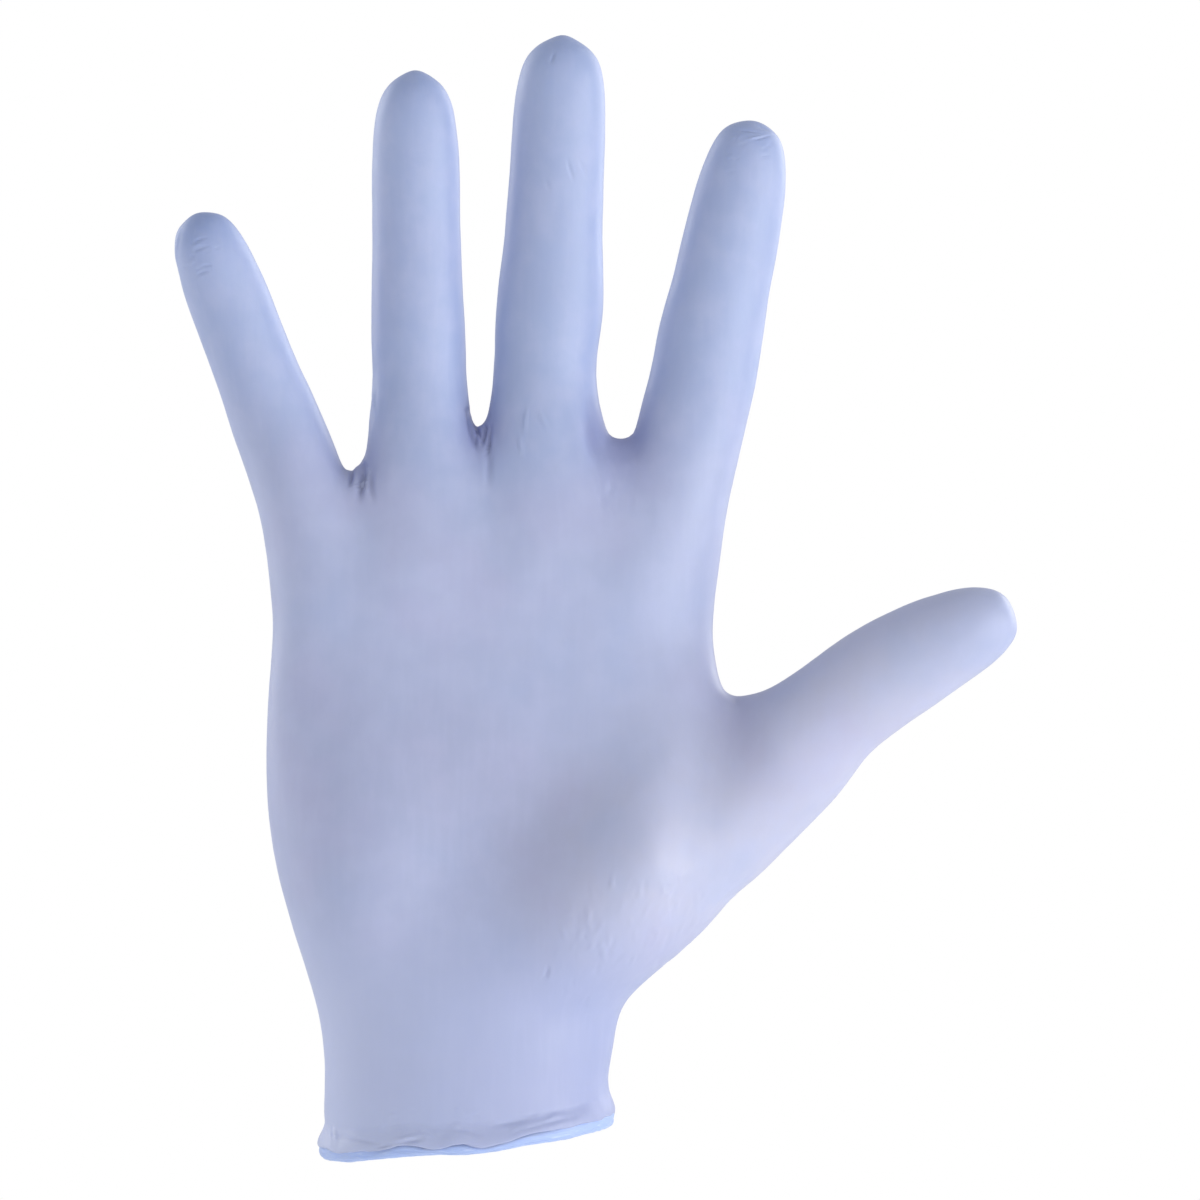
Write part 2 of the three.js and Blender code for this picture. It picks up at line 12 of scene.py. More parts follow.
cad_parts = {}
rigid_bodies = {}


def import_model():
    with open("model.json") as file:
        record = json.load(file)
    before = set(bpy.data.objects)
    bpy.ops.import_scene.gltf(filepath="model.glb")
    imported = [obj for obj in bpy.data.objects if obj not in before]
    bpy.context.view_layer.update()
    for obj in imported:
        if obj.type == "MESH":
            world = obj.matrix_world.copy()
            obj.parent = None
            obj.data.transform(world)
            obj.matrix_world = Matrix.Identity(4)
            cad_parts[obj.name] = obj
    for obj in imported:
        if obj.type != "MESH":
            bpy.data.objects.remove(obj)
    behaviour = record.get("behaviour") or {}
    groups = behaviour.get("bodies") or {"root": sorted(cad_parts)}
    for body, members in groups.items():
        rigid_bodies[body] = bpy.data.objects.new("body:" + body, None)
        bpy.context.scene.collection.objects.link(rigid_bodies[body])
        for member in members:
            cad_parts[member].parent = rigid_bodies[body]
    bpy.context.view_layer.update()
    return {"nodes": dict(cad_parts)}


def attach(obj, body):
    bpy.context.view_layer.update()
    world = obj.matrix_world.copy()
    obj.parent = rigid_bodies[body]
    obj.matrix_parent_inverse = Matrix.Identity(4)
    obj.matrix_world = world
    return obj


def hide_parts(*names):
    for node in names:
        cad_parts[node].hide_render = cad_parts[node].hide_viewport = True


bl_info = {
    "name": "Nitrile examination glove",
    "version": (1, 0, 0),
    "blender": (4, 5, 0),
    "location": "View3D > Sidebar > Glove",
    "description": "Makes a worn nitrile glove: its dipped film, its rolled bead and a plain studio",
    "category": "Object",
}

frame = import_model()

MM = 0.001
PALM = -1
BACK = 1


def linear(code, alpha=1.0):
    """An sRGB hex colour as linear red, green, blue and alpha."""
    shares = [int(code[i : i + 2], 16) / 255 for i in (1, 3, 5)]
    return (*[s / 12.92 if s <= 0.04045 else ((s + 0.055) / 1.055) ** 2.4 for s in shares], alpha)


# Sizes and colours that can be set


class GloveFilmSettings(bpy.types.PropertyGroup):
    """Sizes and colours of the dipped film."""

    wall: bpy.props.FloatProperty(
        name="Wall at the edge",
        description="Thickness of the film where its wrist edge shows",
        default=0.35 * MM,
        min=0.05 * MM,
        max=1.0 * MM,
        precision=5,
        unit="LENGTH",
    )
    flare: bpy.props.FloatProperty(
        name="Flare over the bead",
        description="How far the film's wrist edge stands out over the rolled bead",
        default=2.5 * MM,
        min=0.0,
        max=4.0 * MM,
        precision=5,
        unit="LENGTH",
    )
    fold_depth: bpy.props.FloatProperty(
        name="Fold depth",
        description="Depth of the folds and puckers as a share of that in their tables",
        default=1.3,
        min=0.0,
        max=2.0,
        subtype="FACTOR",
    )
    palm_colour: bpy.props.FloatVectorProperty(
        name="Palm colour",
        description="Colour of the film over the palm and the cuff, where it is slack",
        default=linear("#afb8d8"),
        size=4,
        min=0.0,
        max=1.0,
        subtype="COLOR",
    )
    finger_colour: bpy.props.FloatVectorProperty(
        name="Finger colour",
        description="Colour of the film over the fingers, where it is bluer",
        default=linear("#a5b3d8"),
        size=4,
        min=0.0,
        max=1.0,
        subtype="COLOR",
    )
    tip_colour: bpy.props.FloatVectorProperty(
        name="Fingertip colour",
        description="Colour of the thick film at the fingertips, where the dip drains to",
        default=linear("#8fa2d0"),
        size=4,
        min=0.0,
        max=1.0,
        subtype="COLOR",
    )
    thumb_colour: bpy.props.FloatVectorProperty(
        name="Thumb colour",
        description="Colour of the film over the thumb and its ball, where it is drawn thin and pale",
        default=linear("#bfc2da"),
        size=4,
        min=0.0,
        max=1.0,
        subtype="COLOR",
    )
    # Painted shade: the colour that the webs between the fingers are painted, darker as they lie in shade
    # between the digits.
    web_shade_colour: bpy.props.FloatVectorProperty(
        name="Web colour",
        description="Colour of the gathered film between two fingers, where it lies double",
        default=linear("#8588bb"),
        size=4,
        min=0.0,
        max=1.0,
        subtype="COLOR",
    )
    roughness: bpy.props.FloatProperty(
        name="Roughness",
        description="Roughness of the film's satin surface",
        default=0.46,
        min=0.0,
        max=1.0,
        subtype="FACTOR",
    )


class GloveBeadSettings(bpy.types.PropertyGroup):
    """Sizes and colour of the rolled bead."""

    thickness: bpy.props.FloatProperty(
        name="Thickness",
        description="How far the bead stands out from the film that it is rolled on",
        default=1.9 * MM,
        min=0.5 * MM,
        max=4.0 * MM,
        precision=5,
        unit="LENGTH",
    )
    height: bpy.props.FloatProperty(
        name="Height",
        description="Height of the bead, with the part that the film covers",
        default=3.6 * MM,
        min=1.0 * MM,
        max=8.0 * MM,
        precision=5,
        unit="LENGTH",
    )
    colour: bpy.props.FloatVectorProperty(
        name="Colour",
        description="Colour of the rolled film, lighter and bluer than a single film",
        default=linear("#adc1ec"),
        size=4,
        min=0.0,
        max=1.0,
        subtype="COLOR",
    )


class GloveStageSettings(bpy.types.PropertyGroup):
    """The studio round the glove."""

    floor_drop: bpy.props.FloatProperty(
        name="Floor below the glove",
        description="How far the floor lies below the wrist opening",
        default=0.5,
        min=0.05,
        max=2.0,
        unit="LENGTH",
    )
    key_power: bpy.props.FloatProperty(
        name="Key light",
        description="Power of the large soft light on the right",
        default=8.0,
        min=0.0,
        max=100.0,
        unit="POWER",
    )
    fill_power: bpy.props.FloatProperty(
        name="Back lights",
        description="Power of each of the two soft lights behind the glove",
        default=6.2,
        min=0.0,
        max=100.0,
        unit="POWER",
    )
    surround: bpy.props.FloatProperty(
        name="Surround",
        description="Strength of the even light from all round",
        default=0.58,
        min=0.0,
        max=2.0,
        subtype="FACTOR",
    )


# Tables, in millimetres in the part's own frame, seen from the palm side

# Where the skin is cut finer, so that small folds can be shaped in it: the middle and half sizes of an
# oval in X and Z, the side it is on, and how many cuts each face edge gets.
Zone = namedtuple("Zone", "name side x z half_x half_z cuts")
ZONES = (
    Zone("cuff_edge", 0, 0, 0, 60, 8.5, 1),
    Zone("little_ring_web", PALM, -21, 131, 7, 9, 3),
    Zone("ring_middle_web", PALM, 3, 137, 6, 9, 3),
    Zone("middle_index_web", PALM, 30, 133, 9, 9, 2),
    Zone("middle_finger_foot", PALM, 14, 141, 7, 8, 2),
    Zone("ring_finger_edge", PALM, -18.5, 145, 4, 10, 2),
    Zone("heel_of_thumb", PALM, 36, 42, 24, 15, 2),
    Zone("little_tip", PALM, -52, 177, 8, 12, 2),
    Zone("ring_tip", 0, -10, 208, 11, 8, 1),
    Zone("middle_tip", 0, 19, 214, 12, 9, 1),
    Zone("index_tip", 0, 56, 198, 12, 9, 2),
    Zone("thumb_tip", 0, 105, 104, 9, 10, 1),
    Zone("middle_finger_end", PALM, 20, 192, 7, 6, 2),
    Zone("back_webs", BACK, 4, 128, 34, 9, 1),
)

# Folds and creases. Each runs from x, z to to_x, to_z on its side. Wide is the half breadth of the
# valley, deep its depth (a ridge where negative) and start how deep it already is where it begins.
Fold = namedtuple("Fold", "name side x z to_x to_z wide deep start")
FOLDS = (
    Fold("little_ring_left", PALM, -22.7, 134.4, -23.5, 129.8, 0.45, 0.50, 0.5),
    Fold("little_ring_main", PALM, -20.9, 134.6, -20.9, 126.9, 0.80, 0.80, 0.35),
    Fold("little_ring_ridge", PALM, -22.0, 133.8, -22.0, 129.8, 0.36, -0.30, 0.6),
    Fold("little_ring_second", PALM, -19.7, 133.8, -19.6, 128.8, 0.38, -0.34, 0.5),
    Fold("little_ring_right", PALM, -18.5, 134.2, -18.4, 126.9, 0.80, 0.42, 0.15),
    Fold("ring_edge_valley", PALM, -18.3, 148.0, -18.0, 141.0, 0.45, 0.12, 0.1),
    Fold("ring_edge_ridge", PALM, -18.7, 152.4, -17.9, 141.6, 0.34, -0.24, 0.2),
    Fold("ring_middle_outer", PALM, 0.5, 146.0, 2.5, 135.6, 0.60, 0.42, 1.0),
    Fold("ring_middle_left", PALM, 1.6, 144.4, 3.2, 138.6, 0.36, 0.46, 1.0),
    Fold("ring_middle_centre", PALM, 3.7, 142.4, 3.0, 137.8, 0.36, 0.50, 1.0),
    Fold("ring_middle_right", PALM, 4.6, 142.5, 4.5, 135.0, 0.38, 0.40, 0.6),
    Fold("ring_middle_tail", PALM, 4.0, 139.0, 4.6, 129.0, 0.80, 0.28, 0.5),
    Fold("ring_middle_fine", PALM, 2.2, 141.8, 1.7, 138.0, 0.30, 0.30, 0.8),
    Fold("middle_index_shadow", PALM, 25.6, 147.0, 27.2, 132.0, 2.00, 0.50, 0.6),
    Fold("middle_index_first", PALM, 29.2, 132.2, 27.9, 127.8, 0.30, 0.20, 0.1),
    Fold("middle_index_second", PALM, 26.2, 130.2, 27.4, 126.6, 0.30, 0.18, 0.1),
    Fold("middle_index_third", PALM, 33.6, 131.6, 32.4, 125.8, 0.35, 0.15, 0.1),
    Fold("middle_foot_first", PALM, 12.1, 146.4, 11.7, 140.2, 0.30, -0.22, 0.1),
    Fold("middle_foot_second", PALM, 10.4, 140.4, 11.4, 136.0, 0.30, -0.22, 0.1),
    Fold("middle_foot_third", PALM, 14.2, 146.2, 16.7, 140.4, 0.32, -0.18, 0.1),
    Fold("middle_foot_fourth", PALM, 18.8, 134.9, 18.4, 131.8, 0.35, -0.18, 0.1),
    Fold("middle_end_first", PALM, 20.2, 195.2, 21.4, 190.6, 0.32, 0.16, 0.1),
    Fold("middle_end_second", PALM, 22.2, 195.2, 24.0, 191.6, 0.32, 0.12, 0.1),
    Fold("middle_end_third", PALM, 15.6, 191.2, 16.8, 188.8, 0.30, 0.12, 0.1),
    Fold("middle_tip_tuck", PALM, 17.4, 216.4, 17.0, 213.6, 0.32, 0.18, 0.2),
    Fold("little_end_first", PALM, -54.2, 178.9, -50.8, 179.6, 0.26, 0.16, 0.1),
    Fold("little_end_second", PALM, -54.4, 177.9, -51.6, 178.6, 0.26, -0.16, 0.1),
    Fold("little_end_third", PALM, -54.6, 176.9, -50.2, 178.0, 0.28, 0.18, 0.1),
    Fold("little_end_fourth", PALM, -52.6, 173.6, -49.8, 174.4, 0.28, 0.14, 0.1),
    Fold("little_end_fifth", PALM, -53.6, 172.2, -50.2, 173.3, 0.30, 0.18, 0.1),
    Fold("little_end_edge", PALM, -57.0, 182.0, -57.8, 173.0, 0.40, -0.14, 0.2),
    Fold("index_end_first", PALM, 53.4, 201.2, 58.6, 200.4, 0.30, 0.18, 0.2),
    Fold("index_end_second", PALM, 55.4, 199.0, 59.4, 200.2, 0.30, -0.16, 0.1),
    Fold("index_end_third", PALM, 56.6, 199.2, 60.8, 200.2, 0.26, 0.18, 0.2),
    Fold("index_end_side", PALM, 57.6, 202.6, 60.6, 200.8, 0.30, 0.14, 0.2),
    Fold("index_joint", PALM, 51.2, 193.0, 54.0, 192.6, 0.35, 0.08, 0.1),
    Fold("heel_first", PALM, 16.3, 36.6, 15.8, 32.8, 0.32, 0.22, 0.1),
    Fold("heel_second", PALM, 24.2, 30.2, 23.2, 26.8, 0.32, 0.18, 0.1),
    Fold("heel_curl", PALM, 23.0, 42.4, 24.6, 41.2, 0.30, 0.14, 0.1),
    Fold("heel_outer", PALM, 55.9, 54.4, 55.3, 52.4, 0.35, 0.24, 0.1),
    Fold("heel_outer_long", PALM, 53.4, 51.0, 48.4, 46.4, 0.35, 0.12, 0.1),
    Fold("cuff_ledge", PALM, -26.4, 1.7, -13.5, 1.2, 0.50, 0.24, 0.5),
    Fold("cuff_lap_under", PALM, -18.4, 0.0, -13.0, 1.6, 0.30, 0.24, 0.3),
    Fold("cuff_lap_ridge", PALM, -14.0, 1.6, -8.6, 3.4, 0.36, -0.26, 0.3),
    Fold("cuff_lap_shadow", PALM, -12.8, 1.5, -7.4, 2.7, 0.34, 0.26, 0.3),
    Fold("cuff_lap_small", PALM, -9.0, 3.4, -6.6, 2.4, 0.30, -0.18, 0.2),
    Fold("cuff_middle_crease", PALM, -2.6, 4.4, 3.4, 3.2, 0.45, 0.20, 0.1),
    Fold("cuff_right_crease", PALM, 5.0, 4.6, 14.0, 6.6, 0.50, 0.18, 0.1),
    Fold("cuff_corner_first", PALM, -27.6, 4.8, -26.4, -0.6, 0.40, -0.20, 0.2),
    Fold("cuff_corner_second", PALM, -26.2, 3.8, -25.4, 0.2, 0.36, -0.18, 0.2),
    Fold("cuff_far_ledge", PALM, 9.0, 3.6, 23.0, 6.2, 0.45, 0.14, 0.1),
    Fold("back_little_ring", BACK, -20.6, 134.0, -20.0, 122.0, 0.90, 0.50, 0.8),
    Fold("back_ring_middle_left", BACK, 1.6, 141.0, 0.4, 128.0, 0.80, 0.45, 0.8),
    Fold("back_ring_middle_right", BACK, 4.6, 141.0, 5.6, 129.0, 0.80, 0.45, 0.8),
    Fold("back_middle_index_left", BACK, 28.4, 138.0, 27.0, 127.0, 1.10, 0.40, 0.8),
    Fold("back_middle_index_right", BACK, 33.0, 138.0, 34.0, 128.0, 1.10, 0.35, 0.8),
)

# Groups of small puckers strewn over an oval: how many, which way they run in degrees from level, how
# far that varies, how long, wide and deep they are.
Puckers = namedtuple("Puckers", "name side x z half_x half_z count turn spread long wide deep")
PUCKERS = (
    Puckers("cuff_edge", PALM, 4, 5, 24, 3.5, 22, 20, 24, 3.6, 0.50, 0.08),
    Puckers("heel_of_thumb", PALM, 38, 45, 20, 9.5, 95, 68, 30, 4.0, 0.40, 0.11),
    Puckers("below_heel", PALM, 21, 37, 8, 8, 16, 76, 26, 2.4, 0.34, 0.09),
    Puckers("middle_index_web", PALM, 30, 130, 7, 5, 12, 72, 16, 2.6, 0.34, 0.08),
    Puckers("index_end", PALM, 56, 198, 5, 4, 9, 22, 18, 2.4, 0.32, 0.09),
    Puckers("little_end", PALM, -52, 176, 4, 5, 9, 28, 20, 2.0, 0.30, 0.09),
    Puckers("palm_strokes", PALM, 12, 92, 34, 30, 40, 70, 20, 7.0, 0.80, 0.035),
    Puckers("back_of_thumb_joint", BACK, 78, 84, 8, 6, 12, -20, 30, 4.0, 0.80, 0.10),
    Puckers("back_knuckles", BACK, 6, 122, 36, 5, 26, 5, 30, 4.0, 0.90, 0.08),
)

# The closed ends of the digits in X, Y and Z, each with the foot that it points away from, how high a
# small nub is where the dip drained off, and how deep the film's colour is there.
Tip = namedtuple("Tip", "name x y z foot nub deep")
TIPS = (
    Tip("little", -53.0, -8.0, 184.8, (-35, 0, 138), 0.10, 0.95),
    Tip("ring", -10.2, -9.0, 213.0, (-9, 0, 142), 0.25, 0.6),
    Tip("middle", 19.2, -8.5, 220.0, (15, 0, 144), 0.25, 0.6),
    Tip("index", 56.6, -7.0, 203.0, (45, 0, 143), 0.0, 0.5),
    Tip("thumb", 107.6, -24.0, 103.0, (65, -12, 78), 0.0, 0.1),
)

# The floors of the webs in X and Z, how far round them the film is painted darker and by how much (painted
# shade in the hollow between two digits), and how far the floor is let down (up where negative) and its two
# sides are spread. The last row isn't a web: it takes in the edge of the thumb's heel a little.
Web = namedtuple("Web", "name x z reach deep sink spread")
WEBS = (
    Web("little_ring", -21.6, 135.8, 4.5, 0.50, 1.9, 1.1),
    Web("ring_middle", 3.1, 141.5, 4.5, 0.9, 0.6, 0.6),
    Web("middle_index", 30.8, 140.0, 7.0, 0.80, 1.6, 1.5),
    Web("index_thumb", 54.0, 87.0, 9.0, 0.30, -1.5, 0.5),
    Web("heel_edge", 52.5, 48.5, 5.0, 0.0, -0.8, 0.0),
)

# The wrist edge, a row for each place round it, counted in turns from the little finger's side over
# the palm side: the height of the film's edge, the height of the bead's lowest point, the bead's size
# and how far the film stands out, as shares of those that are set, and how far the bead is tucked in.
Edge = namedtuple("Edge", "turn film low size stand tuck")
EDGES = (
    Edge(0.000, -0.6, -3.0, 1.00, 0.88, -0.35),
    Edge(0.045, -0.9, -3.3, 1.00, 0.90, -0.30),
    Edge(0.090, -1.2, -3.2, 1.00, 0.86, -0.10),
    Edge(0.125, -0.6, -2.6, 0.98, 0.78, 0.05),
    Edge(0.155, -0.2, -1.9, 0.90, 0.74, 0.25),
    Edge(0.182, 1.1, -1.4, 0.90, 0.72, 0.40),
    Edge(0.213, 0.6, -1.0, 0.85, 0.76, 0.60),
    Edge(0.248, 1.5, -0.8, 0.85, 0.72, 0.45),
    Edge(0.271, 0.9, -0.5, 0.80, 0.76, 0.60),
    Edge(0.293, 1.7, -0.1, 0.80, 0.72, 0.60),
    Edge(0.322, 3.1, 0.8, 0.86, 0.72, 0.45),
    Edge(0.375, 4.1, 1.6, 0.92, 0.76, 0.10),
    Edge(0.435, 5.2, 2.7, 1.00, 0.82, -0.15),
    Edge(0.500, 5.6, 3.0, 1.00, 0.82, -0.25),
    Edge(0.560, 4.9, 2.3, 1.00, 0.82, -0.10),
    Edge(0.620, 3.8, 1.5, 0.92, 0.80, 0.10),
    Edge(0.680, 3.0, 0.5, 0.88, 0.80, 0.25),
    Edge(0.740, 1.7, -0.5, 0.95, 0.85, 0.35),
    Edge(0.800, 1.3, -1.2, 0.90, 0.85, 0.25),
    Edge(0.870, 0.0, -2.3, 1.00, 0.85, 0.00),
    Edge(0.935, -0.4, -2.8, 1.02, 0.86, -0.20),
)

# Half sizes of the wrist opening in X and Y, how far up the flare reaches, and a height that the rim's
# own faces lie under.
RIM_HALF = (27.6, 19.6)
FLARE_HEIGHT = 6.0
LIP_TOP = 9.0

# The circles that the patterns of the film's edge and of the bead are laid on.
WAVE_CIRCLE = 9
BEAD_CIRCLE = 22

# The oval round the thumb's foot where the palm's crease is evened out: middle and half sizes in X and Z.
THUMB_FOOT = (51, 69)
THUMB_FOOT_HALF = (15, 17)

# How wide and high the change to a web reaches, and over what breadth its sides part.
WEB_REACH = (4.5, 5.5)
WEB_PARTING = 1.2

# Half size of a fingertip's nub, and how far from the tip's own place its top is looked for.
NUB_HALF = 1.9
TIP_SEARCH = 14

# The film's wall in the depth of the glove, and the heights between which it thickens to that.
INNER_WALL = 0.95
INNER_WALL_FROM = 6.0
INNER_WALL_TO = 22.0

# The plain ring that the bead is bent from, and how round its section is: 0 is a square, 1 an oval.
RING_RADIUS = 30.0
RING_HALF = 1.0
BEAD_ROUNDNESS = 0.82

# Where the colours of the film lie. The fingers' colour comes in between the COOL heights, and the cuff's
# goes out between the CUFF heights and changes from lighter on the left to darker on the right over CUFF_HALF
# either side, as painted light and shade. The thumb's lies round the line from PALE_START along PALE_RUN in X
# and Z, the tips' within TIP_REACH of them, and the palm is painted a little darker round a spot in its
# middle, as painted shade.
COOL_FROM = 112
COOL_TO = 142
PALE_START = np.array((42.0, 52.0))
PALE_RUN = np.array((40.0, 30.0))
PALE_FROM = 2
PALE_TO = 46
TIP_REACH = 9.0
PALM_SHADE_MIDDLE = (-1, 69)
PALM_SHADE_REACH = 20
CUFF_FROM = 25
CUFF_TO = 52
CUFF_SHARE = 0.7
CUFF_HALF = 26


def round_turns(turns, column):
    """The values of a column of the edge's table at any turns, eased from row to row."""
    places = np.array([row.turn for row in EDGES])
    values = np.array([getattr(row, column) for row in EDGES])
    places = np.concatenate([places - 1, places, places + 1])
    values = np.tile(values, 3)
    turns = np.mod(turns, 1.0)
    after = np.clip(np.searchsorted(places, turns, side="right"), 2, len(places) - 2)
    start, end = places[after - 1], places[after]
    share = (turns - start) / (end - start)
    a, b, c, d = (values[after + step] for step in (-2, -1, 0, 1))
    curve = 2 * a - 5 * b + 4 * c - d + share * (3 * (b - c) + d - a)
    return b + 0.5 * share * (c - a + share * curve)


def turn_of(points):
    """How far round the wrist opening points lie, in turns."""
    return np.arctan2(-points[:, 1] / RIM_HALF[1], -points[:, 0] / RIM_HALF[0]) / (2 * math.pi)


def circled(around, radius, third):
    """Places for a pattern that closes on itself round the wrist opening."""
    return np.stack([np.cos(around) * radius, np.sin(around) * radius, third], 1)


def distance(points, place):
    """How far points lie from a place."""
    return np.linalg.norm(points - np.array(place), axis=1)


def eased(values, low, high):
    """A smooth step from 0 at low to 1 at high."""
    share = np.clip((values - low) / (high - low), 0.0, 1.0)
    return share * share * (3 - 2 * share)


# Selecting, shaping and reading meshes


def select_only(piece):
    """Makes one piece the active one and the only one selected."""
    bpy.ops.object.select_all(action="DESELECT")
    piece.select_set(True)
    bpy.context.view_layer.objects.active = piece


def select_parts(piece, kind, wanted):
    """In edit mode, selects the faces, edges or verts for which wanted is true, and nothing else."""
    bpy.ops.mesh.select_mode(type={"faces": "FACE", "edges": "EDGE", "verts": "VERT"}[kind])
    bpy.ops.mesh.select_all(action="DESELECT")
    mesh = bmesh.from_edit_mesh(piece.data)
    count = 0
    for part in getattr(mesh, kind):
        if wanted(part):
            part.select_set(True)
            count += 1
    mesh.select_flush_mode()
    bmesh.update_edit_mesh(piece.data)
    return count


def apply_modifier(piece, name, kind, **settings):
    """Adds a modifier with its settings and applies it."""
    modifier = piece.modifiers.new(name, kind)
    for key, value in settings.items():
        setattr(modifier, key, value)
    select_only(piece)
    bpy.ops.object.modifier_apply(modifier=modifier.name)


def points_of(piece):
    """The points of a mesh in millimetres."""
    points = np.zeros(len(piece.data.vertices) * 3)
    piece.data.vertices.foreach_get("co", points)
    return points.reshape(-1, 3) / MM


def normals_of(piece):
    """The directions that a mesh's points face."""
    normals = np.zeros(len(piece.data.vertices) * 3)
    piece.data.vertex_normals.foreach_get("vector", normals)
    return normals.reshape(-1, 3)


def put_points(piece, points):
    """Moves the points of a mesh to places in millimetres."""
    piece.data.vertices.foreach_set("co", (points * MM).ravel())
    piece.data.update()


def put_attribute(piece, name, values):
    """Stores a number for each point under a name that the materials read."""
    attribute = piece.data.attributes.new(name, "FLOAT", "POINT")
    attribute.data.foreach_set("value", np.asarray(values, dtype=np.float32))


def rippled(points, scale, seed):
    """Soft noise between -1 and 1 at points, with hills about scale millimetres apart."""
    shift = Vector((seed * 17.3, seed * 5.1, seed * 9.7))
    return np.array([noise.noise(Vector(p) / scale + shift) for p in points]) * 1.6


# The film


def is_lip(face):
    """Whether a face is on the flat rim between the outer wall and the inner one."""
    return abs(face.normal.z) > 0.9 and face.calc_center_median().z < LIP_TOP * MM


def halves_edge(point):
    """Whether a point lies halfway along an edge: it has four edges, or three on the rim."""
    return len(point.link_edges) == (3 if point.is_boundary else 4)


def copy_outer_skin(name):
    """A copy of the film's outer wall, brought back from triangles to four-sided faces."""
    source = frame["nodes"]["glove_film"]
    piece = bpy.data.objects.new(name, source.data.copy())
    bpy.context.scene.collection.objects.link(piece)
    piece.data.materials.clear()
    select_only(piece)
    bpy.ops.mesh.customdata_custom_splitnormals_clear()
    bpy.ops.object.mode_set(mode="EDIT")
    bpy.ops.mesh.select_all(action="SELECT")
    bpy.ops.mesh.remove_doubles(threshold=1e-6)
    bpy.ops.mesh.mark_sharp(clear=True)
    select_parts(piece, "faces", is_lip)
    bpy.ops.mesh.delete(type="FACE")
    top = max(bmesh.from_edit_mesh(piece.data).verts, key=lambda v: v.co.z).co.z
    select_parts(piece, "verts", lambda v: v.co.z == top)
    bpy.ops.mesh.select_linked()
    bpy.ops.mesh.select_all(action="INVERT")
    bpy.ops.mesh.delete(type="VERT")

    # The edges that cut a four-sided face in two are those with no end at a halfway point.
    select_parts(piece, "edges", lambda edge: not any(halves_edge(v) for v in edge.verts))
    bpy.ops.mesh.dissolve_edges(use_verts=False)
    odd = select_parts(piece, "faces", lambda face: len(face.verts) != 4)
    bpy.ops.object.mode_set(mode="OBJECT")
    if odd:
        raise RuntimeError(f"{odd} faces of the film's skin have not four sides")
    return piece


def flare_edge(piece, film):
    """Brings the wrist edge down to its own wavy line and stands it out over the bead."""
    points = points_of(piece)
    turns = turn_of(points)
    edge = round_turns(turns, "film")
    rim = points[rim_numbers(piece)]
    order = np.argsort(turn_of(rim))
    rim_turns = turn_of(rim)[order]
    old = np.interp(turns, rim_turns, rim[order, 2], period=1.0)
    above = points[:, 2] - old
    near = (above < FLARE_HEIGHT * 1.6) & (np.abs(points[:, 0]) < 36) & (points[:, 2] < 20)
    low = 1 - eased(above, 0.0, FLARE_HEIGHT * 1.5)
    places = circled(2 * math.pi * turns, WAVE_CIRCLE, above * 0.15)
    wave = rippled(places, 1.1, 3)
    points[:, 2] += np.where(near, low * (edge + 0.25 * wave - old), 0)
    out = np.stack([points[:, 0] / RIM_HALF[0] ** 2, points[:, 1] / RIM_HALF[1] ** 2, 0 * edge], 1)
    out /= np.maximum(np.linalg.norm(out, axis=1), 1e-9)[:, None]
    stand = round_turns(turns, "stand") * (1 - eased(above, -0.6, FLARE_HEIGHT - 1.0))
    reach = film.flare / MM * (1 + 0.06 * rippled(places, 1.6, 5))
    points += out * np.where(near, stand * reach, 0)[:, None]
    put_points(piece, points)


def rim_numbers(piece):
    """The numbers of the points on the open wrist edge."""
    mesh = bmesh.new()
    mesh.from_mesh(piece.data)
    numbers = [v.index for v in mesh.verts if v.is_boundary]
    mesh.free()
    return numbers


def open_webs(piece):
    """Lets the floors of the webs down or up and spreads their sides, into rounder openings."""
    points = points_of(piece)
    for row in WEBS:
        across = points[:, 0] - row.x
        up = points[:, 2] - row.z
        near = np.exp(-((across / WEB_REACH[0]) ** 2) - (up / WEB_REACH[1]) ** 2)
        points[:, 2] -= row.sink * near
        points[:, 0] += row.spread * np.tanh(across / WEB_PARTING) * near
    put_points(piece, points)


def soften_thumb_foot(piece):
    """Evens out the crease that runs down the palm from the thumb's web."""
    for share in (1.0, 0.85, 0.7):
        select_only(piece)
        bpy.ops.object.mode_set(mode="EDIT")

        def inside(point):
            x = (point.co.x / MM - THUMB_FOOT[0]) / THUMB_FOOT_HALF[0]
            z = (point.co.z / MM - THUMB_FOOT[1]) / THUMB_FOOT_HALF[1]
            return point.normal.y < 0.2 and x**2 + z**2 < share**2

        select_parts(piece, "verts", inside)
        bpy.ops.mesh.vertices_smooth(factor=0.5, repeat=10)
        bpy.ops.object.mode_set(mode="OBJECT")


def cut_zones_finer(piece):
    """Cuts the zones' faces finer, and turns the many-sided faces at their rims into small fans."""
    for zone in ZONES:
        select_only(piece)
        bpy.ops.object.mode_set(mode="EDIT")

        def inside(face):
            middle = face.calc_center_median() / MM
            x = (middle.x - zone.x) / zone.half_x
            z = (middle.z - zone.z) / zone.half_z
            other_side = zone.side and face.normal.y * zone.side < -0.35
            return not other_side and x**2 + z**2 < 1

        select_parts(piece, "faces", inside)
        bpy.ops.mesh.subdivide(number_cuts=zone.cuts, smoothness=0.0, ngon=True, quadcorner="INNERVERT")
        bpy.ops.mesh.vertices_smooth(factor=0.5, repeat=2 * zone.cuts)
        bpy.ops.object.mode_set(mode="OBJECT")
    bpy.ops.object.mode_set(mode="EDIT")
    bpy.ops.mesh.select_mode(type="FACE")
    bpy.ops.mesh.select_all(action="DESELECT")
    bpy.ops.mesh.select_face_by_sides(number=4, type="GREATER", extend=False)
    bpy.ops.mesh.poke()
    bpy.ops.object.mode_set(mode="OBJECT")


